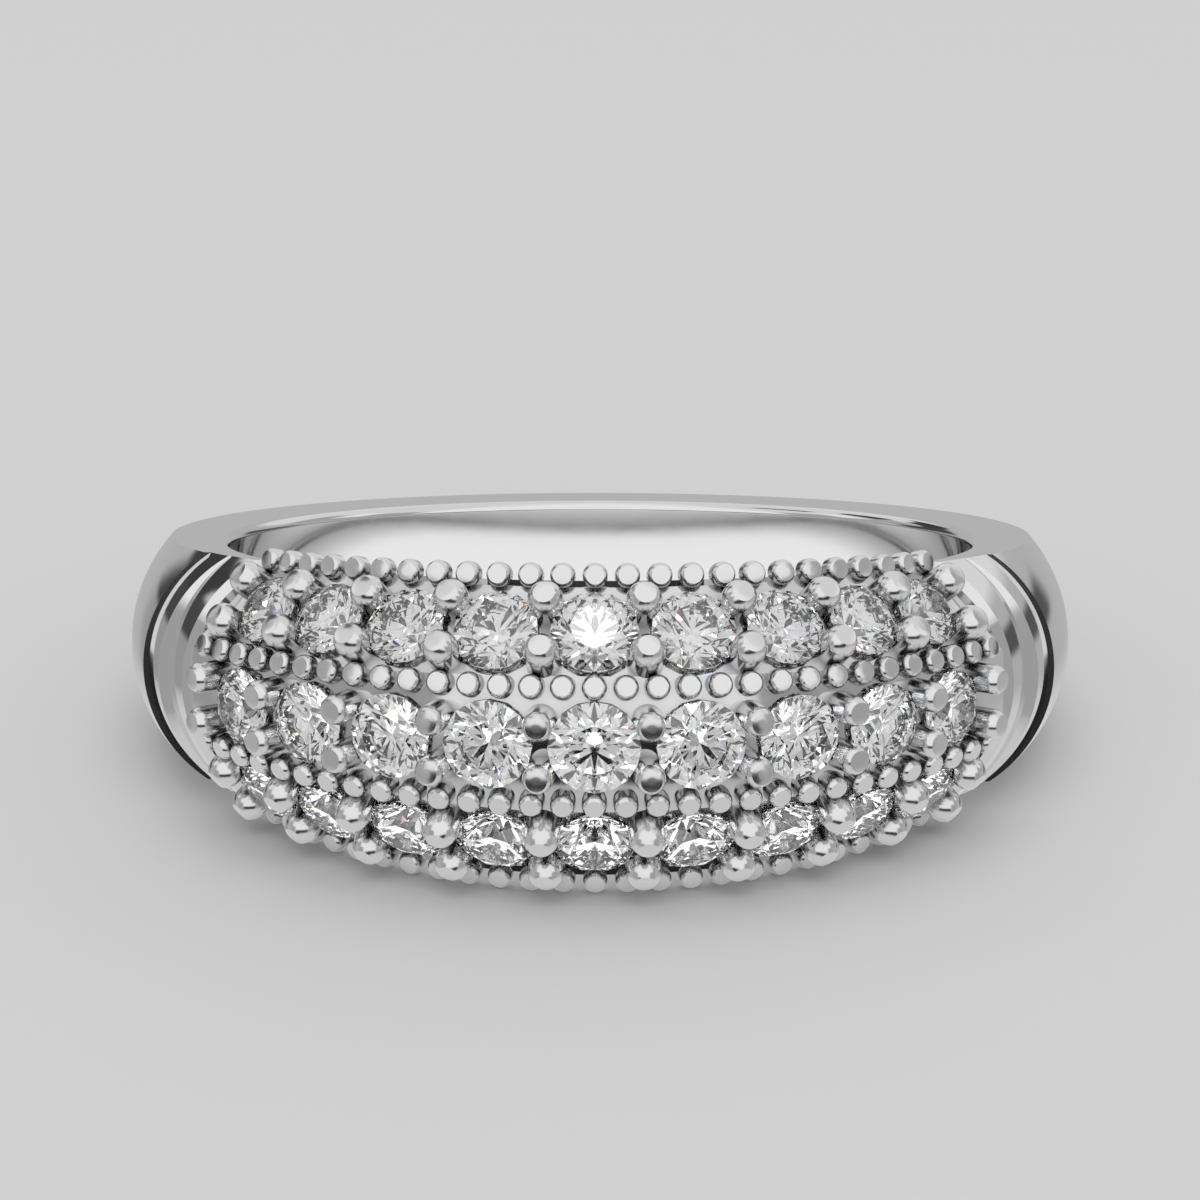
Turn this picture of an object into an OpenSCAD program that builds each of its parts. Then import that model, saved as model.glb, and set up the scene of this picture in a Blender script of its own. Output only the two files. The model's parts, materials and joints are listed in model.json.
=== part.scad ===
// Dome ring lying on its side: a cast white-metal band whose domed front is
// pave set with three rows of graduated round brilliants. Rows of small flat
// pegs run between and beside the stone rows, and a pair of rounded prongs
// stands in each gap between two stones. All lengths are in millimetres.
// The ring is drawn about its finger axis, then laid down as it rests.

/* [Finger] */
// Inside diameter of the finger hole
finger_d = 17.3; // [15:0.1:21]
// Rounding of the hole's two edges
comfort_edge = 0.22; // [0.05:0.01:0.3]

/* [Band] */
// Thickness of the band at its crown, from the finger hole outwards
band_wall = 2.3; // [1.8:0.05:3]
// Radius of the band's crowned outer face, seen in cross-section
crown_arc = 3.3; // [3.2:0.05:4.5]
// Half width of the band halfway round, where the finger's sides are
side_half_w = 2.3; // [2:0.05:2.6]
// Taper of each flat side face, in degrees
side_slope = 6.73; // [5:0.1:7.5]

/* [Shoulder steps] */
// How far in front of the finger axis the crown ends and the first step begins
crown_end = 3.25; // [2.5:0.05:3.6]
// Drop from the crown to the first step, at the middle of the band
first_drop = 0.13; // [0.1:0.01:0.16]
// Length of the first step along the finger axis to the front
first_tread = 0.75; // [0.4:0.05:1]
// Drop from the first step to the second, at the middle of the band
second_drop = 0.21; // [0.16:0.01:0.24]
// Length of the second step
second_tread = 0.71; // [0.4:0.05:1]
// Length of the slanted face between two steps
bevel_run = 0.11; // [0.05:0.01:0.15]

/* [Dome] */
// Wall of the dome behind its middle row, from the finger hole outwards
dome_wall = 1.82; // [1.6:0.02:1.84]
// Depth of the dome's plate below the girdles of the side rows' stones
plate_drop = 0.15; // [0.1:0.01:0.25]
// Height of a row a quarter turn from the front, as a share of its height in front
row_fall = 0.63; // [0.55:0.01:0.7]
// Half angle of the part of the dome that carries pegs, in degrees
dome_half_angle = 58.5; // [50:0.5:60]
// Thickness of the upright rim along the dome's two edges, from the finger hole outwards
rim_wall = 0.25; // [0.24:0.01:0.3]

/* [Middle stone row] */
// Diameter of the central stone of the middle row
mid_stone_d = 2.06; // [1.9:0.01:2.1]
// Height of the middle row's girdles above the dome's plate
mid_girdle_rise = 0.1; // [0.08:0.01:0.2]
// Bare metal between two neighbouring stones of the middle row
stone_gap = 0.33; // [0.3:0.01:0.4]

/* [Side stone rows] */
// Diameter of the central stone of the top and the low row
side_stone_d = 1.96; // [1.8:0.01:2]
// How much smaller the side rows' girdle circle is than the middle row's, in radius
side_row_drop = 0.8; // [0.75:0.01:0.85]
// Distance of a side row from the edge pegs beside it, across the dome in front
side_row_step = 1.13; // [1.1:0.01:1.16]
// Lean of the side rows' stones away from the middle row in front, in degrees
side_lean = 40; // [37:0.5:43]

/* [Brilliant cut] */
// Width of the table, as a share of the stone's diameter
table_share = 0.56; // [0.5:0.01:0.62]
// Crown height, as a share of the stone's diameter
crown_share = 0.15; // [0.12:0.005:0.17]
// Girdle thickness, as a share of the stone's diameter
girdle_share = 0.03; // [0.02:0.005:0.04]
// Pavilion depth, as a share of the stone's diameter
pavilion_share = 0.43; // [0.4:0.005:0.44]
// Where the lower girdle facets end, as a share of the stone's radius
lower_share = 0.22; // [0.15:0.01:0.35]
// Clearance all round a stone in its seat
seat_gap = 0.03; // [0.02:0.005:0.05]

/* [Prongs] */
// Diameter of a prong of the middle row
mid_prong_d = 0.68; // [0.6:0.01:0.72]
// Diameter of a prong of the top or the low row
side_prong_d = 0.72; // [0.66:0.01:0.76]
// Height of a middle prong's tip above the girdle of the stones beside it, next to the centre
mid_prong_h = 0.76; // [0.6:0.01:0.85]
// Height of a side prong's tip above the girdle of the stones beside it, next to the centre
side_prong_h = 0.68; // [0.6:0.01:0.8]
// Rounding of a prong's tip
prong_edge = 0.12; // [0.08:0.005:0.16]
// Depth of a prong's root below that girdle
prong_root = 0.3; // [0.25:0.01:0.4]
// Distance of a middle prong from the middle of its row, next to the centre
mid_prong_off = 0.6; // [0.56:0.01:0.65]
// Distance of a side prong from the middle of its row, next to the centre
side_prong_off = 0.65; // [0.62:0.01:0.7]

/* [Pegs] */
// Diameter of a peg
peg_d = 0.56; // [0.5:0.01:0.6]
// Rounding of a peg's top edge
peg_edge = 0.07; // [0.03:0.005:0.08]
// Length of an inner peg with its root
inner_peg_h = 0.4; // [0.36:0.01:0.6]
// Length of an edge peg with its root
edge_peg_h = 0.34; // [0.3:0.01:0.36]
// Spacing of the pegs between two stone rows
inner_peg_pitch = 0.706; // [0.66:0.002:0.76]
// Spacing of the pegs along the dome's two edges
edge_peg_pitch = 0.72; // [0.66:0.002:0.76]
// Height of the inner pegs' tops above the dome's plate
inner_peg_rise = 0.18; // [0.12:0.01:0.24]
// Distance of the inner pegs from the side row beside them, across the dome in front
inner_peg_step = 1.01; // [0.98:0.01:1.04]
// Lean of the inner pegs in front, in degrees
inner_peg_lean = 19.7; // [15:0.5:24]
// Height of the edge pegs' tops above the upright rim
edge_peg_rise = 0.18; // [0.15:0.01:0.24]
// How much further out the edge pegs' tops lie in front than the band's sides halfway round
edge_peg_step = 1.23; // [1.2:0.01:1.3]
// Lean of the edge pegs in front, in degrees
edge_peg_lean = 18; // [12:0.5:24]

/* [Hidden] */
// Sizes of the five stones from the centre to the end of a row, as shares of the central one
stone_grades = [1, 0.975, 0.93, 0.895, 0.85];
last_stone = len(stone_grades) - 1;
row_count = 2 * last_stone + 1;

round_fn = 128;
stone_fn = 48;
prong_fn = 24;
peg_fn = 24;
overlap = 0.02;
// How much the rounding is fuller than its edge, so that it crosses the hole's wall at an angle
edge_relief = 0.01;
reach = 20;

finger_r = finger_d / 2;
crown_r = finger_r + band_wall;
side_rise = tan(side_slope);

// The steps' faces: each is the crown sunk by the drops so far and cut off further forward
first_r = crown_r - first_drop;
second_r = first_r - second_drop;
second_arc = crown_arc + second_drop;
first_end = crown_end + first_tread;
second_end = first_end + bevel_run + second_tread;

// The rows across the dome, each set out from the metal under it and the row beside it
dome_r = finger_r + dome_wall;
mid_row_r = dome_r + mid_girdle_rise;
side_row_r = mid_row_r - side_row_drop;
inner_peg_r = dome_r + inner_peg_rise;
edge_peg_r = finger_r + rim_wall + edge_peg_rise;
edge_peg_z = side_half_w + edge_peg_step;
side_row_z = edge_peg_z - side_row_step;
inner_peg_z = side_row_z - inner_peg_step;

function degrees_of(arc, r) = arc / r * 180 / PI;
function row_tilt(r, z) = atan(z * (1 - row_fall) / r);

// Azimuths of the stones from the centre of a row outwards, shared by the three rows
function stone_az(i) = i == 0 ? 0 :
    stone_az(i - 1) + degrees_of(
        mid_stone_d * (stone_grades[i - 1] + stone_grades[i]) / 2 + stone_gap, mid_row_r);
// Azimuths of the prong pairs: halfway between two stones, and one past the last
function prong_az(i) = i < last_stone ? (stone_az(i) + stone_az(i + 1)) / 2 :
    stone_az(last_stone) + degrees_of(
        (mid_stone_d * stone_grades[last_stone] + stone_gap) / 2, mid_row_r);

// How high and how far apart a pair stands, as a share of the central pair
function prong_grade(i) = i < last_stone ? (stone_grades[i] + stone_grades[i + 1]) / 2 :
    stone_grades[last_stone];

// The stone's number in its row, 1 at the left, as signed steps from the centre
function steps_of(number) = number - 1 - last_stone;
function grade_of(number) = stone_grades[abs(steps_of(number))];
function az_of(number) = sign(steps_of(number)) * stone_az(abs(steps_of(number)));

// How the ring rests on its side: on the low edge pegs in front and the band's edge behind
peg_foot_z = edge_peg_z - peg_edge * sin(edge_peg_lean) + peg_d / 2 * cos(edge_peg_lean);
peg_foot_r = edge_peg_r - peg_edge * cos(edge_peg_lean) - peg_d / 2 * sin(edge_peg_lean);
heel_half_w = side_half_w - side_rise * crown_r;
heel_r = crown_r - crown_arc + sqrt(pow(crown_arc, 2) - pow(heel_half_w, 2));
rest_tilt = atan((peg_foot_z - side_half_w + side_rise * heel_r) / (peg_foot_r + heel_r));
rest_lift = peg_foot_z * cos(rest_tilt) - peg_foot_r * sin(rest_tilt);
mid_tip_r = mid_row_r + mid_prong_h * prong_grade(0);
front_reach = mid_tip_r * cos(prong_az(0)) * cos(rest_tilt) + mid_prong_off * sin(rest_tilt);
back_reach = (crown_r - crown_arc) * cos(rest_tilt) + crown_arc;
rest_shift = (front_reach - back_reach) / 2;

// Lays what is drawn about the finger axis down on the table plane
module laid_down() {
    translate([0, rest_shift, rest_lift])
        rotate([-rest_tilt, 0, 0])
            children();
}

// Stands its child, drawn along +Z, on a row's tilted circle, pointing outwards
module on_row(r, z, az, lean) {
    tilt = row_tilt(r, z);
    translate([0, 0, z * row_fall])
        rotate([-tilt, 0, 0])
            rotate([0, 0, az])
                translate([0, -r / cos(tilt), 0])
                    rotate([90 - (lean - tilt), 0, 0])
                        children();
}

module upper_and_lower() {
    children();
    mirror([0, 0, 1]) children();
}

module left_and_right() {
    children();
    mirror([1, 0, 0]) children();
}

// One flat peg with a softened top edge, its top in the plane z = 0
module peg(h) {
    r = peg_d / 2;
    rotate_extrude($fn = peg_fn)
        polygon([[0, -h], [r, -h], [r, -peg_edge], [r - peg_edge, 0], [0, 0]]);
}

// One prong, standing on the plane of the stones' girdles; its tip is rounded in two slanted steps
module prong(d, h) {
    r = d / 2;
    step_in = prong_edge * (1 - cos(45));
    step_up = prong_edge * sin(45);
    rotate_extrude($fn = prong_fn)
        polygon([[0, -prong_root], [r, -prong_root], [r, h - prong_edge],
                 [r - step_in, h - prong_edge + step_up], [r - prong_edge, h], [0, h]]);
}

module peg_row(r, z, lean, pitch, h) {
    step = degrees_of(pitch, r);
    count = floor(dome_half_angle / step);
    for (i = [-count : count])
        on_row(r, z, i * step, lean) peg(h);
}

// Two prongs stand in each gap, either side of the row's middle
module prong_row(r, z, lean, off, d, h) {
    for (i = [0 : last_stone], gap = [-1, 1], side = [-1, 1])
        on_row(r, z, gap * prong_az(i), lean)
            translate([0, side * off * prong_grade(i), 0])
                prong(d, h * prong_grade(i));
}

// The pocket of one stone: its cone and girdle grown by the clearance
module seat(d) {
    r = d / 2;
    half_girdle = d * girdle_share / 2;
    table_r = r * table_share;
    crown_h = d * crown_share;
    rotate_extrude($fn = stone_fn)
        polygon([[0, -half_girdle - d * pavilion_share - 2 * seat_gap],
                 [r + seat_gap, -half_girdle - seat_gap],
                 [r + seat_gap, half_girdle + seat_gap],
                 [table_r + 2 * seat_gap, half_girdle + crown_h + 2 * seat_gap],
                 [0, half_girdle + crown_h + 2 * seat_gap]]);
}

// The crown's barrel shape: a ring of revolution with an arc for its outer face
module barrel(mid_r, arc) {
    rotate_extrude($fn = round_fn)
        translate([mid_r - arc, 0]) circle(r = arc, $fn = round_fn);
}

module behind(y) {
    translate([-reach, y, -reach]) cube(2 * reach);
}

// The slanted face at a step's end: a short cone whose axis runs front to back
module step_bevel(mid_r, arc, end, drop) {
    half_x = sqrt(pow(mid_r, 2) - pow(end, 2));
    edge_z = side_half_w;
    edge_r = mid_r - arc + sqrt(pow(arc, 2) - pow(edge_z, 2));
    edge_x = sqrt(pow(edge_r, 2) - pow(end, 2));
    sag = half_x - edge_x;
    cone_r = (pow(edge_z, 2) + pow(sag, 2)) / (2 * sag);
    translate([half_x - cone_r, -end, 0])
        rotate([90, 0, 0])
            translate([0, 0, -overlap])
                cylinder(h = bevel_run + overlap, r1 = cone_r - overlap,
                         r2 = cone_r - drop, $fn = round_fn);
}

module shoulders() {
    intersection() {
        barrel(crown_r, crown_arc);
        behind(-crown_end);
    }
    intersection() {
        barrel(first_r, crown_arc);
        behind(-first_end);
    }
    left_and_right() step_bevel(first_r, crown_arc, first_end, second_drop);
    intersection() {
        barrel(second_r, second_arc);
        behind(-second_end);
    }
    left_and_right() step_bevel(second_r, second_arc, second_end, second_r - dome_r);
}

// One of the dome's two slanted plates, as the inside of a cone tilted like its stone row
module slanted_plate() {
    tilt = row_tilt(side_row_r, side_row_z);
    lean = side_lean - tilt;
    plate_r = side_row_r / cos(tilt) - plate_drop / cos(lean);
    below = side_row_z + 2 * side_half_w;
    above = 2 * side_half_w;
    translate([0, 0, side_row_z * row_fall])
        rotate([-tilt, 0, 0])
            translate([0, 0, -below])
                cylinder(h = below + above, r1 = plate_r + below * tan(lean),
                         r2 = plate_r - above * tan(lean), $fn = round_fn);
}

module dome() {
    intersection() {
        union() {
            intersection() {
                cylinder(h = reach, r = dome_r, center = true, $fn = round_fn);
                slanted_plate();
                mirror([0, 0, 1]) slanted_plate();
            }
            cylinder(h = reach, r = finger_r + rim_wall, center = true, $fn = round_fn);
        }
        mirror([0, 1, 0]) behind(crown_end);
    }
}

// What lies beyond one of the ring's flat side faces, with the rounded edge of the hole
module side_cut() {
    translate([0, 0, side_half_w])
        rotate([-side_slope, 0, 0]) {
            translate([-reach, -reach, 0]) cube([2 * reach, 2 * reach, reach]);
            difference() {
                translate([0, 0, -comfort_edge])
                    cylinder(h = comfort_edge + overlap, r = finger_r + comfort_edge,
                             $fn = round_fn);
                translate([0, 0, -comfort_edge])
                    rotate_extrude($fn = round_fn)
                        translate([finger_r + comfort_edge, 0])
                            circle(r = comfort_edge + edge_relief, $fn = stone_fn);
            }
        }
}

module finger_hole() {
    cylinder(h = reach, r = finger_r, center = true, $fn = round_fn);
}

module ring_body() {
    color([0.78, 0.78, 0.79])
    laid_down()
    difference() {
        union() {
            difference() {
                union() {
                    shoulders();
                    dome();
                }
                upper_and_lower() side_cut();
                finger_hole();
            }
            upper_and_lower() {
                peg_row(inner_peg_r, inner_peg_z, inner_peg_lean, inner_peg_pitch, inner_peg_h);
                peg_row(edge_peg_r, edge_peg_z, edge_peg_lean, edge_peg_pitch, edge_peg_h);
                prong_row(side_row_r, side_row_z, side_lean,
                          side_prong_off, side_prong_d, side_prong_h);
            }
            prong_row(mid_row_r, 0, 0, mid_prong_off, mid_prong_d, mid_prong_h);
        }
        for (number = [1 : row_count]) {
            on_row(mid_row_r, 0, az_of(number), 0)
                seat(mid_stone_d * grade_of(number));
            upper_and_lower()
                on_row(side_row_r, side_row_z, az_of(number), side_lean)
                    seat(side_stone_d * grade_of(number));
        }
    }
}

// A round brilliant with its girdle's middle in the plane z = 0: a table, 8 stars, 8 kites,
// 16 upper girdle facets, 8 pavilion mains and 16 lower girdle facets
module brilliant(d) {
    r = d / 2;
    half_girdle = d * girdle_share / 2;
    table_r = r * table_share;
    table_z = half_girdle + d * crown_share;
    star_r = (r + table_r) / 2;
    kite_slope = d * crown_share / (r - table_r);
    star_z = table_z - (star_r * cos(22.5) - table_r) * kite_slope;
    lower_r = lower_share * r;
    main_slope = pavilion_share * d / r;
    lower_z = -half_girdle - (r - lower_r * cos(22.5)) * main_slope;
    culet_z = -half_girdle - pavilion_share * d;

    points = concat(
        [for (k = [0 : 7]) [table_r * cos(45 * k), table_r * sin(45 * k), table_z]],
        [for (k = [0 : 7]) [star_r * cos(45 * k + 22.5), star_r * sin(45 * k + 22.5), star_z]],
        [for (k = [0 : 15]) [r * cos(22.5 * k), r * sin(22.5 * k), half_girdle]],
        [for (k = [0 : 15]) [r * cos(22.5 * k), r * sin(22.5 * k), -half_girdle]],
        [for (k = [0 : 7]) [lower_r * cos(45 * k + 22.5), lower_r * sin(45 * k + 22.5), lower_z]],
        [[0, 0, culet_z]]
    );
    star = 8;
    top_girdle = 16;
    low_girdle = 32;
    lower = 48;
    culet = 56;
    faces = concat(
        [[for (k = [7 : -1 : 0]) k]],
        [for (k = [0 : 7]) [k, (k + 1) % 8, star + k]],
        [for (k = [0 : 7]) [k, star + k, top_girdle + 2 * k]],
        [for (k = [0 : 7]) [k, top_girdle + 2 * k, star + (k + 7) % 8]],
        [for (k = [0 : 7]) [star + k, top_girdle + 2 * k + 1, top_girdle + 2 * k]],
        [for (k = [0 : 7]) [star + k, top_girdle + (2 * k + 2) % 16, top_girdle + 2 * k + 1]],
        [for (k = [0 : 15]) [top_girdle + k, top_girdle + (k + 1) % 16,
                             low_girdle + (k + 1) % 16, low_girdle + k]],
        [for (k = [0 : 7]) [low_girdle + 2 * k, low_girdle + 2 * k + 1, lower + k]],
        [for (k = [0 : 7]) [low_girdle + 2 * k + 1, low_girdle + (2 * k + 2) % 16, lower + k]],
        [for (k = [0 : 7]) [low_girdle + 2 * k, lower + k, culet]],
        [for (k = [0 : 7]) [lower + k, low_girdle + (2 * k + 2) % 16, culet]]
    );
    polyhedron(points = points, faces = faces, convexity = 4);
}

module stone_mid(number) {
    color([0.9, 0.93, 0.96])
        laid_down()
            on_row(mid_row_r, 0, az_of(number), 0)
                brilliant(mid_stone_d * grade_of(number));
}

module stone_top(number) {
    color([0.9, 0.93, 0.96])
        laid_down()
            on_row(side_row_r, side_row_z, az_of(number), side_lean)
                brilliant(side_stone_d * grade_of(number));
}

module stone_low(number) {
    color([0.9, 0.93, 0.96])
        laid_down()
            mirror([0, 0, 1])
                on_row(side_row_r, side_row_z, az_of(number), side_lean)
                    brilliant(side_stone_d * grade_of(number));
}

ring_body();
for (i = [1 : row_count]) {
    stone_top(i);
    stone_mid(i);
    stone_low(i);
}
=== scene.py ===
import json
import math

import bmesh
import bpy
from mathutils import Matrix, Vector


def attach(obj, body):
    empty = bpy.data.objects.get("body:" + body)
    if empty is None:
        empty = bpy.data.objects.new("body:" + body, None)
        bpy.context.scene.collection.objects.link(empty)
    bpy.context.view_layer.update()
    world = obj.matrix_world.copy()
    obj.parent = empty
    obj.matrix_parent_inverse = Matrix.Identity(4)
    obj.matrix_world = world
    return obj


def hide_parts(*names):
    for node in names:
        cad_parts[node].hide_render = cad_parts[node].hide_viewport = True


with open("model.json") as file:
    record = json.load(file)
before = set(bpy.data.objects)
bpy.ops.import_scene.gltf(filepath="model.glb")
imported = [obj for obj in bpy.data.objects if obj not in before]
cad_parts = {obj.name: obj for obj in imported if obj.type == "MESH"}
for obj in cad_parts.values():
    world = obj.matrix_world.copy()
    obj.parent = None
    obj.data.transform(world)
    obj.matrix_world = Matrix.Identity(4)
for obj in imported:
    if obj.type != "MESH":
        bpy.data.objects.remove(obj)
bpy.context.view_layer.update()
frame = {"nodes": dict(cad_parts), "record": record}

# Sizes of the ring in millimetres, the same as in the CAD model
FINGER_R = 8.65
HOLE_EDGE = 0.22
BAND_WALL = 2.3
CROWN_ARC = 3.3
SIDE_HALF_W = 2.3
SIDE_SLOPE = math.radians(6.73)
CROWN_END = 3.25
FIRST_DROP = 0.13
FIRST_TREAD = 0.75
SECOND_DROP = 0.21
SECOND_TREAD = 0.71
BEVEL_RUN = 0.11
SLOPE_DIP = 0.005
DOME_WALL = 1.82
PLATE_DROP = 0.15
ROW_FALL = 0.63
DOME_HALF_ANGLE = math.radians(58.5)
RIM_WALL = 0.25
STONE_GRADES = [1, 0.975, 0.93, 0.895, 0.85]
STONE_GAP = 0.33
MID_STONE_D = 2.06
SIDE_STONE_D = 1.96
MID_ROW = {"r": 10.57, "z": 0.0, "lean": 0.0}
SIDE_ROW = {"r": 9.77, "z": 2.4, "lean": math.radians(40)}
INNER_PEG_ROW = {"r": 10.65, "z": 1.39, "lean": math.radians(19.7)}
EDGE_PEG_ROW = {"r": 9.08, "z": 3.53, "lean": math.radians(18)}
INNER_PEG_PITCH = 0.706
EDGE_PEG_PITCH = 0.72
PEG_D = 0.56
EDGE_PEG_H = 0.34
MID_PRONG_D = 0.68
MID_PRONG_H = 0.76
SIDE_PRONG_H = 0.68
PRONG_ROOT = 0.3
MID_PRONG_OFF = 0.6
SIDE_PRONG_OFF = 0.65
TABLE_SHARE = 0.56
CROWN_SHARE = 0.15
GIRDLE_SHARE = 0.03
PAVILION_SHARE = 0.43
SEAT_GAP = 0.03

# Sizes that the looks alone have: the dome plate's crown, longer inner pegs, wider side prongs and round tips
DOME_ARC = 7
INNER_PEG_H = 0.55
PEG_DISC_R = 0.21
SIDE_PRONG_D = 0.8
MID_PRONG_DISC_R = 0.24
SIDE_PRONG_DISC_R = 0.245
TIP_DOME_R = 1.7
TIP_CREASE = math.radians(40)

CROWN_R = FINGER_R + BAND_WALL
FIRST_R = CROWN_R - FIRST_DROP
SECOND_R = FIRST_R - SECOND_DROP
SECOND_ARC = CROWN_ARC + SECOND_DROP
FIRST_END = CROWN_END + FIRST_TREAD
SECOND_END = FIRST_END + BEVEL_RUN + SECOND_TREAD
DOME_R = FINGER_R + DOME_WALL

# Lengths of the solids before they are joined and cut, in millimetres
BAND_INNER_R = 8.0
FIRST_INNER_R = 7.9
SECOND_INNER_R = 7.8
FIRST_OVERLAP = 0.35
SECOND_OVERLAP = 0.1
RIM_LENGTH = 8.5
HOLE_LENGTH = 14
PLATE_BELOW = 7.0
PLATE_ABOVE = 4.6

# How finely round shapes are drawn
ROUND_STEPS = 360
ARC_STEPS = 144
EDGE_STEPS = 8
TIP_STEPS = 5
PEG_CORNERS = 24
PRONG_CORNERS = 32
SEAT_CORNERS = 48
BAND_SMOOTHING = 25
SETTING_SMOOTHING = 30

# The ring is modelled about its finger axis in millimetres, then laid down where the CAD model lies
mount = next(m for m in frame["record"]["mounts"] if m["name"] == "finger_hole")
CENTRE = Vector(mount["pos_m"])
TILT = math.atan2(mount["axis"][1], mount["axis"][2])
LAY = Matrix.Translation(CENTRE) @ Matrix.Rotation(-TILT, 4, "X")
LAY_MM = LAY @ Matrix.Scale(0.001, 4)

# The camera, in metres and in pixels of the photo's frame, and the floor
CAMERA_AWAY = 0.15
CAMERA_LENS = 191.9
CAMERA_TURN = math.radians(0.69)
CAMERA_RISE = math.radians(13.6)
FRAME_PX = 1200
FRAME_SHIFT_PX = (-0.08, 34)
FLOOR_R = 0.6
FLOOR_GREY = 0.69

# Finishes
WHITE_GOLD = (0.8, 0.8, 0.805)
RIPPLE = 0.05
DIAMOND = (0.74, 0.74, 0.745)
DIAMOND_IOR = 2.417

# The studio's brightness by height above the horizon in degrees
AIR_BY_HEIGHT = [
    (-90, 0.7),
    (-27, 0.68),
    (-20, 0.48),
    (0, 0.48),
    (9, 0.5),
    (14, 0.8),
    (60, 0.75),
    (78, 0.85),
    (90, 0.9),
]
# Its panels, each over the ones before it: from and to by turn (0 in front, right positive), from and to by
# height, softness of the upright and of the level edges, brightness
AIR_PANELS = [
    (-146, -117, -20, -4, 9, 4, 0.35),
    (-146, -117, -3, 8, 9, 3, 0.07),
    (117, 146, -7, -1, 9, 4, 0.1),
    (-125, -70, 12, 29, 6, 7, 0.42),
    (70, 125, 12, 29, 6, 7, 0.42),
    (-62, 62, -3, 90, 8, 6, 0.95),
    (-74, -42, -18, 12, 3, 5, 0.4),
    (42, 74, -18, 12, 3, 5, 0.4),
    (-32, 32, -21, -4.5, 8, 1.5, 0.02),
    (-107, -94, 22, 36, 4, 3, 0.95),
    (94, 107, 22, 36, 4, 3, 0.95),
    (-158, -134, 9, 19, 3, 3, 0.05),
    (-134, -119, 27, 38, 3, 3, 0.04),
    (-117, -105, 47, 58, 3, 3, 0.04),
]

# The light on the floor and the ring: place, size, brightness
OVERHEAD_BOX = ((0, -0.03, 0.3), (0.2, 0.2), 1.15)

# Lights that the stones alone get: place, size, brightness and colour. They look at the dome
STONE_LIGHTS = [
    ("light on the central top stone", (0, -0.067, 0.241), (0.05, 0.05), 2.8, (1, 1, 1)),
    ("warm spark", (-0.09, -0.11, 0.09), (0.016, 0.016), 5, (1, 0.72, 0.38)),
    ("cool spark", (0.1, -0.12, 0.07), (0.016, 0.016), 5, (0.45, 0.8, 1)),
    ("blue spark", (0.03, -0.13, 0.12), (0.01, 0.01), 6, (0.2, 0.25, 1)),
    ("rose spark", (-0.05, -0.09, 0.15), (0.012, 0.012), 5, (1, 0.5, 0.5)),
    ("white spark left", (-0.13, -0.06, 0.11), (0.014, 0.014), 8, (1, 1, 1)),
    ("white spark right", (0.13, -0.07, 0.13), (0.014, 0.014), 8, (1, 1, 1)),
]
DOME_MIDDLE = (0, -0.01, 0.004)

# Cards of painted light and shade, which show in the metal alone or in the stones alone: radius, place, the
# point they face, brightness inside and at the rim. Two of them close the finger hole's lower end: a painted
# lit floor inside a painted ring of shadow
HOLE_WAY = LAY @ Vector((0, -math.sin(SIDE_SLOPE), math.cos(SIDE_SLOPE)))
CARDS = [
    # A black disc behind a glowing one: painted shadow round a painted lit floor, which the finger hole's
    # inside mirrors
    ("painted shadow in the hole's lower end", 0.0087, LAY @ Vector((0, 0, -0.00221)), HOLE_WAY, (0, 0), "metal"),
    ("painted light in the hole's lower end", 0.00845, LAY @ Vector((0, 0, -0.0022)), HOLE_WAY, (1, 0.45), "metal"),
    # A glowing disc on the floor: painted light that the lower row's stones show
    ("painted light under the lower row", 0.012, (0, -0.014, 0.00006), (0, -0.014, 1), (2.2, 1.6), "stones"),
    ("camera's shade", 0.034, (0, -0.116, 0.052), DOME_MIDDLE, (0, 0), "stones"),
]
CARD_FADE = 0.7

# Handling of objects
scene = bpy.context.scene


def pick(obj):
    bpy.ops.object.select_all(action="DESELECT")
    obj.select_set(True)
    bpy.context.view_layer.objects.active = obj


def open_up(obj):
    pick(obj)
    bpy.ops.object.mode_set(mode="EDIT")
    bpy.ops.mesh.select_mode(type="VERT")
    bpy.ops.mesh.select_all(action="SELECT")


def close_up():
    bpy.ops.object.mode_set(mode="OBJECT")


def settle(obj):
    """Puts the object's place, turn and size into its mesh."""
    pick(obj)
    bpy.ops.object.transform_apply(location=True, rotation=True, scale=True)


def choose_faces(obj, wanted):
    bpy.ops.mesh.select_mode(type="FACE")
    bpy.ops.mesh.select_all(action="DESELECT")
    mesh = bmesh.from_edit_mesh(obj.data)
    mesh.normal_update()
    for face in mesh.faces:
        if wanted(face.calc_center_median(), face.normal):
            face.select_set(True)
    bmesh.update_edit_mesh(obj.data)


def choose_points(obj, wanted):
    bpy.ops.mesh.select_mode(type="VERT")
    bpy.ops.mesh.select_all(action="DESELECT")
    mesh = bmesh.from_edit_mesh(obj.data)
    for point in mesh.verts:
        if wanted(point.co):
            point.select_set(True)
    mesh.select_flush_mode()
    bmesh.update_edit_mesh(obj.data)


def slice_off(co, no):
    """Cuts away what lies beyond a plane, and closes the cut."""
    bpy.ops.mesh.select_all(action="SELECT")
    bpy.ops.mesh.bisect(plane_co=co, plane_no=no, use_fill=True, clear_outer=True)


def tidy_normals():
    bpy.ops.mesh.select_all(action="SELECT")
    bpy.ops.mesh.remove_doubles(threshold=0.0002)
    bpy.ops.mesh.normals_make_consistent(inside=False)


def work(obj, other, way):
    """Joins another solid to this one, or cuts this one by it. The other solid is used up."""
    modifier = obj.modifiers.new("solid work", "BOOLEAN")
    modifier.operation = way
    modifier.solver = "EXACT"
    modifier.object = other
    pick(obj)
    bpy.ops.object.modifier_apply(modifier=modifier.name)
    bpy.data.objects.remove(other, do_unlink=True)


def copy_at(obj, place):
    twin = obj.copy()
    twin.data = obj.data.copy()
    scene.collection.objects.link(twin)
    twin.matrix_world = place
    return twin


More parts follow.
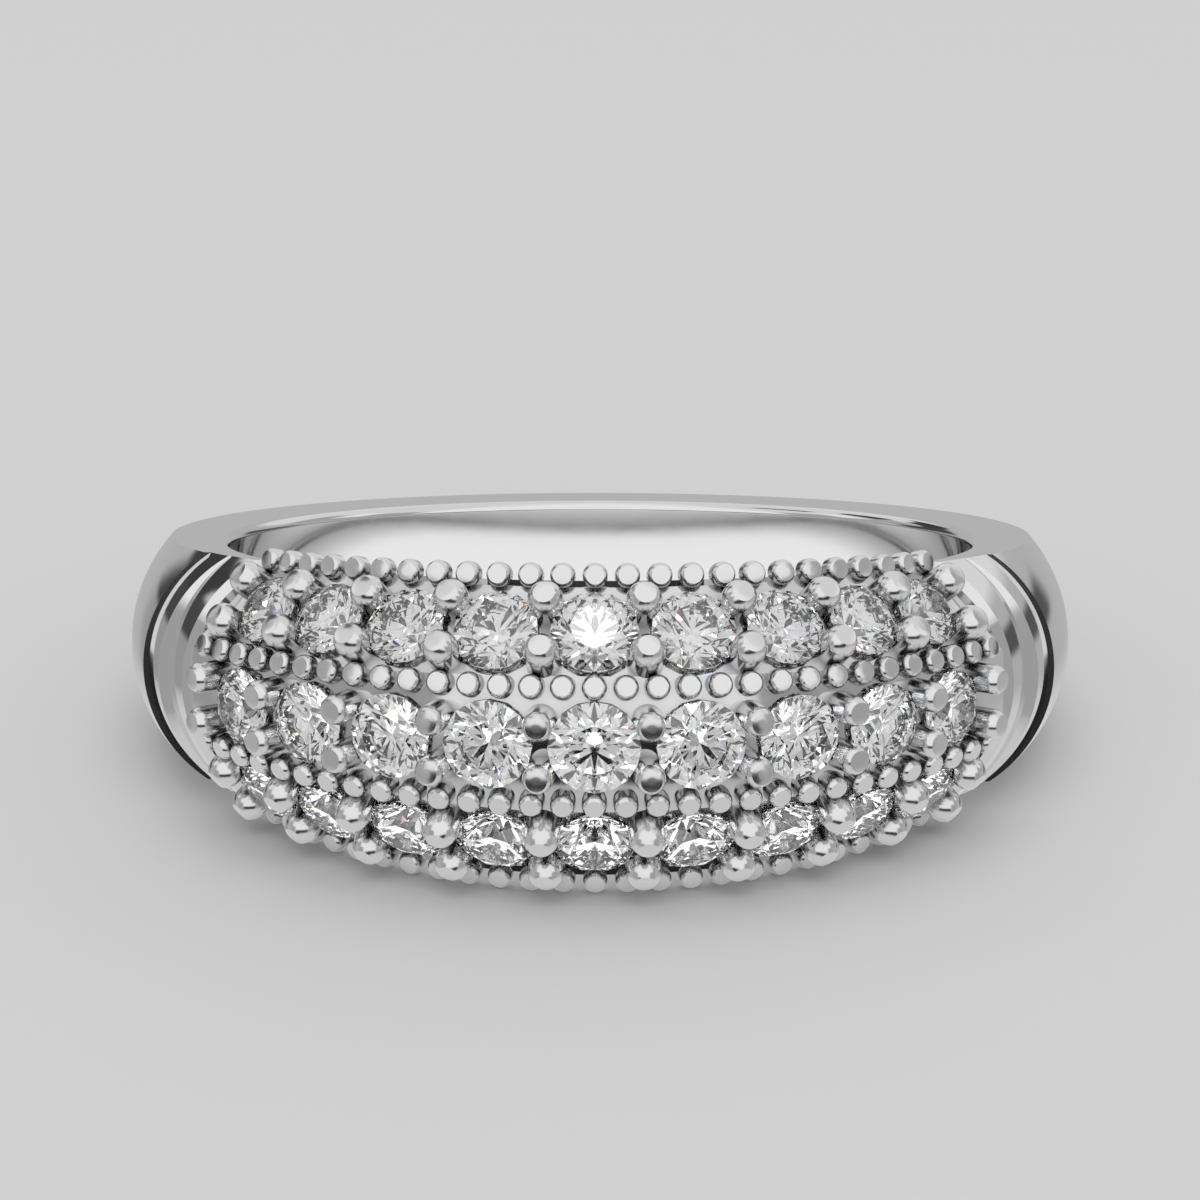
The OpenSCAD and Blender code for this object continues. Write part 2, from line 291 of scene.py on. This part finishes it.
def join(objs, name):
    bpy.ops.object.select_all(action="DESELECT")
    for obj in objs:
        obj.select_set(True)
    bpy.context.view_layer.objects.active = objs[0]
    bpy.ops.object.join()
    objs[0].name = name
    settle(objs[0])
    return objs[0]


def smooth(obj, degrees):
    """Smooth shading between sharp edges, with flat faces kept flat up to their edges."""
    pick(obj)
    bpy.ops.object.shade_smooth_by_angle(angle=math.radians(degrees))
    modifier = obj.modifiers.new("even shading", "WEIGHTED_NORMAL")
    modifier.keep_sharp = True
    bpy.ops.object.modifier_apply(modifier=modifier.name)


def lay_down(obj, name):
    """A finished piece goes from its millimetres to its place in the frame."""
    obj.matrix_world = LAY_MM
    settle(obj)
    obj.name = name
    obj.data.name = name


# Places on the stone and peg rows
def row_tilt(row):
    return math.atan(row["z"] * (1 - ROW_FALL) / row["r"])


def on_row(row, az):
    tilt = row_tilt(row)
    return (
        Matrix.Translation((0, 0, row["z"] * ROW_FALL))
        @ Matrix.Rotation(-tilt, 4, "X")
        @ Matrix.Rotation(az, 4, "Z")
        @ Matrix.Translation((0, -row["r"] / math.cos(tilt), 0))
        @ Matrix.Rotation(math.pi / 2 - (row["lean"] - tilt), 4, "X")
    )


def mirrored(place):
    """The same place on the lower side. What stands there is alike left and right, so it isn't turned."""
    flip_z = Matrix.Diagonal((1, 1, -1, 1))
    flip_x = Matrix.Diagonal((-1, 1, 1, 1))
    return flip_z @ place @ flip_x


def stone_az(i):
    """The angle of stone i steps from the centre of a row."""
    az = 0.0
    for k in range(i):
        az += (MID_STONE_D * (STONE_GRADES[k] + STONE_GRADES[k + 1]) / 2 + STONE_GAP) / MID_ROW["r"]
    return az


def prong_az(i):
    if i < len(STONE_GRADES) - 1:
        return (stone_az(i) + stone_az(i + 1)) / 2
    return stone_az(i) + (MID_STONE_D * STONE_GRADES[i] + STONE_GAP) / 2 / MID_ROW["r"]


def prong_grade(i):
    if i < len(STONE_GRADES) - 1:
        return (STONE_GRADES[i] + STONE_GRADES[i + 1]) / 2
    return STONE_GRADES[i]


# The band
def crowned_stretch(middle_r, arc, inner_r, front, back):
    """A stretch of the band: an arc spun about the finger axis and cut off in front and behind."""
    bpy.ops.object.select_all(action="DESELECT")
    bpy.ops.mesh.primitive_circle_add(
        vertices=ARC_STEPS, radius=arc, location=(middle_r - arc, 0, 0), rotation=(math.pi / 2, 0, 0)
    )
    obj = bpy.context.object
    settle(obj)
    open_up(obj)
    bpy.ops.mesh.bisect(plane_co=(inner_r, 0, 0), plane_no=(-1, 0, 0), clear_outer=True)
    choose_points(obj, lambda co: abs(co.x - inner_r) < 0.001)
    bpy.ops.mesh.edge_face_add()
    bpy.ops.mesh.select_all(action="SELECT")
    bpy.ops.mesh.spin(
        steps=ROUND_STEPS, angle=2 * math.pi, center=(0, 0, 0), axis=(0, 0, 1), use_auto_merge=True
    )
    tidy_normals()
    slice_off((0, -front, 0), (0, -1, 0))
    if back is not None:
        slice_off((0, -back, 0), (0, 1, 0))
    return obj


def slope_ends(obj, middle_r, arc, end, next_r):
    """The slanted face in front of a step: its end faces drawn forward and shrunk about the arc's middle."""
    half_x = math.sqrt(middle_r**2 - end**2)
    drop = half_x - math.sqrt(next_r**2 - (end + BEVEL_RUN) ** 2) + SLOPE_DIP
    edge_r = middle_r - arc + math.sqrt(arc**2 - SIDE_HALF_W**2)
    sag = half_x - math.sqrt(edge_r**2 - end**2)
    round_r = (SIDE_HALF_W**2 + sag**2) / (2 * sag)
    share = (round_r - drop) / round_r
    for side in (1, -1):
        choose_faces(
            obj,
            lambda co, no: no.y < -0.99 and abs(co.y + end) < 0.001 and co.x * side > 0,
        )
        bpy.ops.mesh.extrude_region_move(TRANSFORM_OT_translate={"value": (0, -BEVEL_RUN, 0)})
        bpy.ops.transform.resize(
            value=(share, 1, share),
            center_override=(side * (half_x - round_r), -end - BEVEL_RUN, 0),
        )


def plate_cone():
    """One of the dome's two slanted plates, as a wide cone tilted like its stone row."""
    tilt = row_tilt(SIDE_ROW)
    lean = SIDE_ROW["lean"] - tilt
    plate_r = SIDE_ROW["r"] / math.cos(tilt) - PLATE_DROP / math.cos(lean)
    bpy.ops.object.select_all(action="DESELECT")
    bpy.ops.mesh.primitive_cone_add(
        vertices=ROUND_STEPS,
        radius1=plate_r + PLATE_BELOW * math.tan(lean),
        radius2=plate_r - PLATE_ABOVE * math.tan(lean),
        depth=PLATE_BELOW + PLATE_ABOVE,
    )
    obj = bpy.context.object
    obj.matrix_world = (
        Matrix.Translation((0, 0, SIDE_ROW["z"] * ROW_FALL))
        @ Matrix.Rotation(-tilt, 4, "X")
        @ Matrix.Translation((0, 0, (PLATE_ABOVE - PLATE_BELOW) / 2))
    )
    settle(obj)
    return obj


def round_bar(radius, depth):
    bpy.ops.object.select_all(action="DESELECT")
    bpy.ops.mesh.primitive_cylinder_add(vertices=ROUND_STEPS, radius=radius, depth=depth)
    return bpy.context.object


def dome():
    """The dome's crowned plate between its two slanted ones, with a rim round the finger hole."""
    obj = crowned_stretch(DOME_R, DOME_ARC, BAND_INNER_R, CROWN_R, None)
    close_up()
    work(obj, plate_cone(), "INTERSECT")
    lower = plate_cone()
    open_up(lower)
    bpy.ops.transform.mirror(constraint_axis=(False, False, True), center_override=(0, 0, 0))
    tidy_normals()
    close_up()
    work(obj, lower, "INTERSECT")
    work(obj, round_bar(FINGER_R + RIM_WALL, RIM_LENGTH), "UNION")
    open_up(obj)
    slice_off((0, -CROWN_END - FIRST_TREAD / 2, 0), (0, 1, 0))
    close_up()
    return obj


def side_plane(side, depth):
    """A point and the normal of a flat side face, or of a plane that lies below it."""
    normal = Vector((0, math.sin(SIDE_SLOPE), side * math.cos(SIDE_SLOPE)))
    return Vector((0, 0, side * SIDE_HALF_W)) - normal * depth, normal


def hole_cutter():
    """The finger hole with flared ends, so that what it leaves has rounded edges."""
    obj = round_bar(FINGER_R, HOLE_LENGTH)
    for side in (1, -1):
        point, normal = side_plane(side, HOLE_EDGE)
        open_up(obj)
        slice_off(point, normal)
        radius = FINGER_R
        height = 0.0
        for k in range(1, EDGE_STEPS + 1):
            turn = math.pi / 2 * k / EDGE_STEPS
            new_radius = FINGER_R + HOLE_EDGE * (1 - math.cos(turn))
            new_height = (HOLE_EDGE + 0.001) * math.sin(turn)
            choose_faces(obj, lambda co, no: no.dot(normal) > 0.9999)
            bpy.ops.mesh.extrude_region_move(
                TRANSFORM_OT_translate={"value": tuple(normal * (new_height - height))}
            )
            middle = Vector((0, 0, (point + normal * new_height).dot(normal) / normal.z))
            share = new_radius / radius
            bpy.ops.transform.resize(value=(share, share, share), center_override=middle)
            radius = new_radius
            height = new_height
        bpy.ops.mesh.extrude_region_move(TRANSFORM_OT_translate={"value": tuple(normal)})
        close_up()
    return obj


def seat_cutters():
    """The pockets of all the stones, modelled once and copied."""
    d = MID_STONE_D
    half_girdle = d * GIRDLE_SHARE / 2 + SEAT_GAP
    girdle_r = d / 2 + SEAT_GAP
    table_r = d / 2 * TABLE_SHARE + 2 * SEAT_GAP
    bpy.ops.object.select_all(action="DESELECT")
    bpy.ops.mesh.primitive_cylinder_add(vertices=SEAT_CORNERS, radius=girdle_r, depth=2 * half_girdle)
    seat = bpy.context.object
    open_up(seat)
    choose_faces(seat, lambda co, no: no.z > 0.9)
    bpy.ops.mesh.extrude_region_move(
        TRANSFORM_OT_translate={"value": (0, 0, d * CROWN_SHARE + SEAT_GAP)}
    )
    share = table_r / girdle_r
    bpy.ops.transform.resize(value=(share, share, 1), center_override=(0, 0, 0))
    choose_faces(seat, lambda co, no: no.z < -0.9)
    bpy.ops.mesh.extrude_region_move(
        TRANSFORM_OT_translate={"value": (0, 0, -d * PAVILION_SHARE - SEAT_GAP)}
    )
    bpy.ops.mesh.merge(type="CENTER")
    close_up()
    copies = []
    for i in range(len(STONE_GRADES)):
        for gap in (1, -1) if i else (1,):
            az = gap * stone_az(i)
            mid = Matrix.Scale(STONE_GRADES[i], 4)
            side = Matrix.Scale(STONE_GRADES[i] * SIDE_STONE_D / MID_STONE_D, 4)
            copies.append(copy_at(seat, on_row(MID_ROW, az) @ mid))
            copies.append(copy_at(seat, on_row(SIDE_ROW, az) @ side))
            copies.append(copy_at(seat, mirrored(on_row(SIDE_ROW, az)) @ side))
    bpy.data.objects.remove(seat, do_unlink=True)
    return join(copies, "seats")


def shank():
    """The band and the dome's plate as one solid."""
    body = crowned_stretch(CROWN_R, CROWN_ARC, BAND_INNER_R, CROWN_END, None)
    close_up()
    first = crowned_stretch(FIRST_R, CROWN_ARC, FIRST_INNER_R, FIRST_END, CROWN_END - FIRST_OVERLAP)
    slope_ends(first, FIRST_R, CROWN_ARC, FIRST_END, SECOND_R)
    close_up()
    second = crowned_stretch(SECOND_R, SECOND_ARC, SECOND_INNER_R, SECOND_END, FIRST_END - SECOND_OVERLAP)
    slope_ends(second, SECOND_R, SECOND_ARC, SECOND_END, DOME_R)
    close_up()
    work(body, first, "UNION")
    work(body, second, "UNION")
    work(body, dome(), "UNION")
    open_up(body)
    for side in (1, -1):
        point, normal = side_plane(side, 0)
        slice_off(point, normal)
    close_up()
    work(body, hole_cutter(), "DIFFERENCE")
    work(body, seat_cutters(), "DIFFERENCE")
    smooth(body, BAND_SMOOTHING)
    lay_down(body, "shank")
    return body


# Pegs and prongs
def round_tip(diameter, disc_r, depth, corners):
    """A round post with its tip at z = 0: a wide rounding, a crease and a faintly domed disc."""
    round_r = (diameter / 2 - disc_r) / (1 - math.sin(TIP_CREASE))
    dome_rise = disc_r**2 / (2 * TIP_DOME_R)
    shoulder = dome_rise + round_r * math.cos(TIP_CREASE)
    bpy.ops.object.select_all(action="DESELECT")
    bpy.ops.mesh.primitive_cylinder_add(
        vertices=corners,
        radius=diameter / 2,
        depth=depth - shoulder,
        location=(0, 0, -(depth + shoulder) / 2),
    )
    obj = bpy.context.object
    settle(obj)
    open_up(obj)
    levels = []
    for k in range(1, TIP_STEPS + 1):
        turn = math.pi / 2 + (TIP_CREASE - math.pi / 2) * k / TIP_STEPS
        new_r = diameter / 2 - round_r * (1 - math.sin(turn))
        levels.append((new_r, round_r * math.cos(turn) - shoulder))
    for share in (0.7, 0.35):
        new_r = disc_r * share
        levels.append((new_r, -(new_r**2) / (2 * TIP_DOME_R)))
    radius = diameter / 2
    height = -shoulder
    for new_r, new_height in levels:
        choose_faces(obj, lambda co, no: no.z > 0.999)
        bpy.ops.mesh.extrude_region_move(TRANSFORM_OT_translate={"value": (0, 0, new_height - height)})
        bpy.ops.transform.resize(value=(new_r / radius, new_r / radius, 1), center_override=(0, 0, 0))
        radius = new_r
        height = new_height
    close_up()
    return obj


def peg_row(row, pitch, height):
    """Pegs along a row of the upper side and along its twin on the lower side."""
    one = round_tip(PEG_D, PEG_DISC_R, height, PEG_CORNERS)
    step = pitch / row["r"]
    count = math.floor(DOME_HALF_ANGLE / step)
    copies = []
    for i in range(-count, count + 1):
        place = on_row(row, i * step)
        copies.append(copy_at(one, place))
        copies.append(copy_at(one, mirrored(place)))
    bpy.data.objects.remove(one, do_unlink=True)
    return copies


def prong_row(row, off, diameter, disc_r, height, both_sides):
    """Pairs of prongs between the stones of a row and at its ends."""
    one = round_tip(diameter, disc_r, height + PRONG_ROOT, PRONG_CORNERS)
    copies = []
    for i in range(len(STONE_GRADES)):
        grade = prong_grade(i)
        for gap in (1, -1):
            for side in (1, -1):
                stand = Matrix.Translation((0, side * off * grade, height * grade))
                place = on_row(row, gap * prong_az(i)) @ stand
                copies.append(copy_at(one, place))
                if both_sides:
                    copies.append(copy_at(one, mirrored(place)))
    bpy.data.objects.remove(one, do_unlink=True)
    return copies


def finish_setting(copies, name, cut):
    """Pegs or prongs as one piece, with the stones' seats cut out of them where they reach over a stone."""
    obj = join(copies, name)
    if cut:
        work(obj, seat_cutters(), "DIFFERENCE")
    smooth(obj, SETTING_SMOOTHING)
    lay_down(obj, name)
    return obj


# Materials
def polish_and_shade_group():
    """Polished metal: roughness that varies softly, a very shallow ripple, and painted shade that darkens the
    colour in recesses.
    """
    group = bpy.data.node_groups.new("polish_and_shade", "ShaderNodeTree")
    sockets = group.interface
    sockets.new_socket("Colour", in_out="INPUT", socket_type="NodeSocketColor")
    for label in ("Roughness", "Spread", "Ripple", "Painted recess shade"):
        sockets.new_socket(label, in_out="INPUT", socket_type="NodeSocketFloat")
    sockets.new_socket("Colour", in_out="OUTPUT", socket_type="NodeSocketColor")
    sockets.new_socket("Roughness", in_out="OUTPUT", socket_type="NodeSocketFloat")
    sockets.new_socket("Normal", in_out="OUTPUT", socket_type="NodeSocketVector")
    nodes = group.nodes
    links = group.links
    given = nodes.new("NodeGroupInput")
    out = nodes.new("NodeGroupOutput")
    place = nodes.new("ShaderNodeTexCoord")
    cloud = nodes.new("ShaderNodeTexNoise")
    cloud.inputs["Scale"].default_value = 900
    cloud.inputs["Detail"].default_value = 3
    links.new(place.outputs["Object"], cloud.inputs["Vector"])
    centred = nodes.new("ShaderNodeMath")
    centred.operation = "SUBTRACT"
    centred.inputs[1].default_value = 0.5
    links.new(cloud.outputs["Fac"], centred.inputs[0])
    spread = nodes.new("ShaderNodeMath")
    spread.operation = "MULTIPLY_ADD"
    links.new(centred.outputs[0], spread.inputs[0])
    links.new(given.outputs["Spread"], spread.inputs[1])
    links.new(given.outputs["Roughness"], spread.inputs[2])
    links.new(spread.outputs[0], out.inputs["Roughness"])
    ripple = nodes.new("ShaderNodeTexNoise")
    ripple.inputs["Scale"].default_value = 1400
    ripple.inputs["Detail"].default_value = 2
    links.new(place.outputs["Object"], ripple.inputs["Vector"])
    bump = nodes.new("ShaderNodeBump")
    bump.inputs["Distance"].default_value = 0.00001
    links.new(given.outputs["Ripple"], bump.inputs["Strength"])
    links.new(ripple.outputs["Fac"], bump.inputs["Height"])
    links.new(bump.outputs["Normal"], out.inputs["Normal"])
    # Painted shade: ambient occlusion darkens the colour in recesses, down to the given share of it
    near = nodes.new("ShaderNodeAmbientOcclusion")
    near.samples = 6
    near.inputs["Distance"].default_value = 0.0008
    openness = nodes.new("ShaderNodeMapRange")
    openness.interpolation_type = "SMOOTHSTEP"
    openness.inputs["From Min"].default_value = 0.05
    openness.inputs["From Max"].default_value = 0.75
    links.new(near.outputs["AO"], openness.inputs["Value"])
    links.new(given.outputs["Painted recess shade"], openness.inputs["To Min"])
    shade = nodes.new("ShaderNodeVectorMath")
    shade.operation = "SCALE"
    links.new(given.outputs["Colour"], shade.inputs[0])
    links.new(openness.outputs["Result"], shade.inputs["Scale"])
    links.new(shade.outputs["Vector"], out.inputs["Colour"])
    return group


def metal(name, polish_and_shade, roughness, spread, painted_recess_shade):
    """White gold with its own values of the polish and of the painted shade in its recesses."""
    material = bpy.data.materials.new(name)
    material.use_nodes = True
    nodes = material.node_tree.nodes
    links = material.node_tree.links
    shader = nodes["Principled BSDF"]
    shader.inputs["Metallic"].default_value = 1
    surface = nodes.new("ShaderNodeGroup")
    surface.node_tree = polish_and_shade
    surface.inputs["Roughness"].default_value = roughness
    surface.inputs["Spread"].default_value = spread
    surface.inputs["Ripple"].default_value = RIPPLE
    surface.inputs["Colour"].default_value = (*WHITE_GOLD, 1)
    surface.inputs["Painted recess shade"].default_value = painted_recess_shade
    links.new(surface.outputs["Colour"], shader.inputs["Base Color"])
    links.new(surface.outputs["Roughness"], shader.inputs["Roughness"])
    links.new(surface.outputs["Normal"], shader.inputs["Normal"])
    return material


def diamond():
    material = bpy.data.materials.new("cut diamond")
    material.use_nodes = True
    shader = material.node_tree.nodes["Principled BSDF"]
    shader.inputs["Base Color"].default_value = (*DIAMOND, 1)
    shader.inputs["Roughness"].default_value = 0
    shader.inputs["IOR"].default_value = DIAMOND_IOR
    shader.inputs["Transmission Weight"].default_value = 1
    return material


def floor_finish():
    material = bpy.data.materials.new("pale floor")
    material.use_nodes = True
    shader = material.node_tree.nodes["Principled BSDF"]
    shader.inputs["Base Color"].default_value = (FLOOR_GREY, FLOOR_GREY, FLOOR_GREY, 1)
    shader.inputs["Roughness"].default_value = 1
    shader.inputs["Specular IOR Level"].default_value = 0
    return material


def dress(obj, material):
    obj.data.materials.clear()
    obj.data.materials.append(material)


# Camera, floor and light
def photo_camera():
    data = bpy.data.cameras.new("camera")
    data.sensor_width = 36
    data.lens = CAMERA_LENS
    data.shift_x = FRAME_SHIFT_PX[0] / FRAME_PX
    data.shift_y = FRAME_SHIFT_PX[1] / FRAME_PX
    data.clip_start = 0.005
    data.clip_end = 10
    camera = bpy.data.objects.new("camera", data)
    scene.collection.objects.link(camera)
    aim = (
        LAY
        @ Matrix.Rotation(CAMERA_TURN, 4, "Z")
        @ Matrix.Rotation(-CAMERA_RISE, 4, "X")
        @ Matrix.Rotation(math.pi / 2, 4, "X")
    )
    camera.matrix_world = aim @ Matrix.Translation((0, 0, CAMERA_AWAY))
    scene.camera = camera


def pale_floor():
    """A pale floor. The metal doesn't mirror it: the studio's lower half stands in for it there."""
    bpy.ops.object.select_all(action="DESELECT")
    bpy.ops.mesh.primitive_circle_add(vertices=128, radius=FLOOR_R, fill_type="NGON")
    floor = bpy.context.object
    floor.name = "floor"
    floor.visible_glossy = False
    dress(floor, floor_finish())


def card(name, radius, place, aim, greys, seen_in):
    """A round card of painted light or painted shade, which shows only in the metal's reflections, or only
    through the stones.
    """
    bpy.ops.object.select_all(action="DESELECT")
    bpy.ops.mesh.primitive_circle_add(vertices=64, radius=radius, fill_type="NGON", location=place)
    obj = bpy.context.object
    obj.name = name
    obj.rotation_euler = (Vector(aim) - Vector(place)).to_track_quat("Z", "Y").to_euler()
    settle(obj)
    material = bpy.data.materials.new(name)
    material.use_nodes = True
    nodes = material.node_tree.nodes
    links = material.node_tree.links
    shader = nodes["Principled BSDF"]
    shader.inputs["Base Color"].default_value = (0, 0, 0, 1)
    shader.inputs["Specular IOR Level"].default_value = 0
    shader.inputs["Emission Color"].default_value = (1, 1, 1, 1)
    spot = nodes.new("ShaderNodeTexCoord")
    off_middle = nodes.new("ShaderNodeVectorMath")
    off_middle.operation = "DISTANCE"
    off_middle.inputs[1].default_value = place
    glow = nodes.new("ShaderNodeMapRange")
    glow.interpolation_type = "SMOOTHSTEP"
    glow.inputs["From Min"].default_value = radius * CARD_FADE
    glow.inputs["From Max"].default_value = radius
    glow.inputs["To Min"].default_value = greys[0]
    glow.inputs["To Max"].default_value = greys[1]
    links.new(spot.outputs["Object"], off_middle.inputs[0])
    links.new(off_middle.outputs["Value"], glow.inputs["Value"])
    links.new(glow.outputs["Result"], shader.inputs["Emission Strength"])
    dress(obj, material)
    obj.visible_camera = False
    obj.visible_diffuse = False
    obj.visible_shadow = False
    obj.visible_glossy = seen_in == "metal"
    obj.visible_transmission = seen_in == "stones"


def softbox(name, place, aim, size, radiance, colour=(1, 1, 1)):
    """A square soft light of a given brightness, looking at a point."""
    data = bpy.data.lights.new(name, "AREA")
    data.shape = "RECTANGLE"
    data.size = size[0]
    data.size_y = size[1]
    data.energy = radiance * math.pi * size[0] * size[1]
    data.color = colour
    light = bpy.data.objects.new(name, data)
    scene.collection.objects.link(light)
    light.location = place
    light.rotation_euler = (Vector(aim) - Vector(place)).to_track_quat("-Z", "Y").to_euler()
    return light


def light_ring(stones):
    """The overhead light, the cards of painted light and shade, and the lights that reach the stones alone.
    """
    place, size, radiance = OVERHEAD_BOX
    overhead = softbox("overhead softbox", place, (0, 0, 0), size, radiance)
    overhead.visible_glossy = False
    overhead.visible_transmission = False
    for name, radius, place, aim, greys, seen_in in CARDS:
        card(name, radius, place, aim, greys, seen_in)
    lit_apart = bpy.data.collections.new("lit apart")
    for stone in stones:
        lit_apart.objects.link(stone)
    for name, place, size, radiance, colour in STONE_LIGHTS:
        light = softbox(name, place, DOME_MIDDLE, size, radiance, colour)
        light.visible_camera = False
        light.light_linking.receiver_collection = lit_apart


def studio_air():
    """The studio round the ring: pale above, with a dark band near the horizon and paler panels in it."""
    world = bpy.data.worlds.new("studio")
    scene.world = world
    world.use_nodes = True
    nodes = world.node_tree.nodes
    links = world.node_tree.links

    def sum_of(operation, *values):
        node = nodes.new("ShaderNodeMath")
        node.operation = operation
        for socket, value in zip(node.inputs, values):
            if isinstance(value, (int, float)):
                socket.default_value = value
            else:
                links.new(value, socket)
        return node.outputs[0]

    def window(value, low, high, soft):
        """1 where the value is between low and high, fading to 0 within soft outside."""
        up = nodes.new("ShaderNodeMapRange")
        up.interpolation_type = "SMOOTHSTEP"
        links.new(value, up.inputs["Value"])
        up.inputs["From Min"].default_value = low - soft
        up.inputs["From Max"].default_value = low
        down = nodes.new("ShaderNodeMapRange")
        down.interpolation_type = "SMOOTHSTEP"
        links.new(value, down.inputs["Value"])
        down.inputs["From Min"].default_value = high
        down.inputs["From Max"].default_value = high + soft
        down.inputs["To Min"].default_value = 1
        down.inputs["To Max"].default_value = 0
        return sum_of("MULTIPLY", up.outputs["Result"], down.outputs["Result"])

    way = nodes.new("ShaderNodeTexCoord")
    parts = nodes.new("ShaderNodeSeparateXYZ")
    links.new(way.outputs["Generated"], parts.inputs[0])
    to_degrees = 180 / math.pi
    height = sum_of("MULTIPLY", sum_of("ARCSINE", parts.outputs["Z"]), to_degrees)
    forward = sum_of("MULTIPLY", parts.outputs["Y"], -1)
    turn = sum_of("MULTIPLY", sum_of("ARCTAN2", parts.outputs["X"], forward), to_degrees)

    share = sum_of("MULTIPLY_ADD", height, 1 / 180, 0.5)
    ramp = nodes.new("ShaderNodeValToRGB")
    line = ramp.color_ramp
    while len(line.elements) < len(AIR_BY_HEIGHT):
        line.elements.new(0.5)
    for element, (degrees, grey) in zip(line.elements, AIR_BY_HEIGHT):
        element.position = degrees / 180 + 0.5
        element.color = (grey, grey, grey, 1)
    links.new(share, ramp.inputs["Fac"])
    light = ramp.outputs["Color"]
    for low_turn, high_turn, low, high, soft_turn, soft, grey in AIR_PANELS:
        mask = sum_of(
            "MULTIPLY", window(turn, low_turn, high_turn, soft_turn), window(height, low, high, soft)
        )
        mix = nodes.new("ShaderNodeMix")
        mix.data_type = "RGBA"
        links.new(mask, mix.inputs["Factor"])
        links.new(light, mix.inputs["A"])
        mix.inputs["B"].default_value = (grey, grey, grey, 1)
        light = mix.outputs["Result"]
    links.new(light, nodes["Background"].inputs["Color"])


def renderer_care():
    """Colours as they are, and enough bounces for light inside the stones."""
    scene.view_settings.view_transform = "Standard"
    scene.cycles.max_bounces = 24
    scene.cycles.transmission_bounces = 20
    scene.cycles.glossy_bounces = 10
    scene.cycles.use_denoising = True
    scene.cycles.sample_clamp_indirect = 8
    scene.cycles.blur_glossy = 0.3


# Making it
renderer_care()
photo_camera()
pale_floor()
studio_air()
stones = [bpy.data.objects[name] for name in frame["nodes"] if name.startswith("stone_")]
light_ring(stones)

polish_and_shade = polish_and_shade_group()
# The setting's recesses get a deeper painted shade than the band's
band_metal = metal("polished white gold", polish_and_shade, roughness=0.07, spread=0.03, painted_recess_shade=0.6)
setting_metal = metal("white gold of the setting", polish_and_shade, roughness=0.17, spread=0.04, painted_recess_shade=0.35)
stone_finish = diamond()
for stone in stones:
    dress(stone, stone_finish)

metal_pieces = [
    (shank(), band_metal),
    (
        finish_setting(peg_row(INNER_PEG_ROW, INNER_PEG_PITCH, INNER_PEG_H), "inner_pegs", False),
        setting_metal,
    ),
    (
        finish_setting(peg_row(EDGE_PEG_ROW, EDGE_PEG_PITCH, EDGE_PEG_H), "edge_pegs", False),
        setting_metal,
    ),
    (
        finish_setting(
            prong_row(MID_ROW, MID_PRONG_OFF, MID_PRONG_D, MID_PRONG_DISC_R, MID_PRONG_H, False),
            "middle_prongs",
            True,
        ),
        setting_metal,
    ),
    (
        finish_setting(
            prong_row(SIDE_ROW, SIDE_PRONG_OFF, SIDE_PRONG_D, SIDE_PRONG_DISC_R, SIDE_PRONG_H, True),
            "side_prongs",
            True,
        ),
        setting_metal,
    ),
]
for piece, finish in metal_pieces:
    dress(piece, finish)
    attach(piece, "root")
    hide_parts("ring_body")
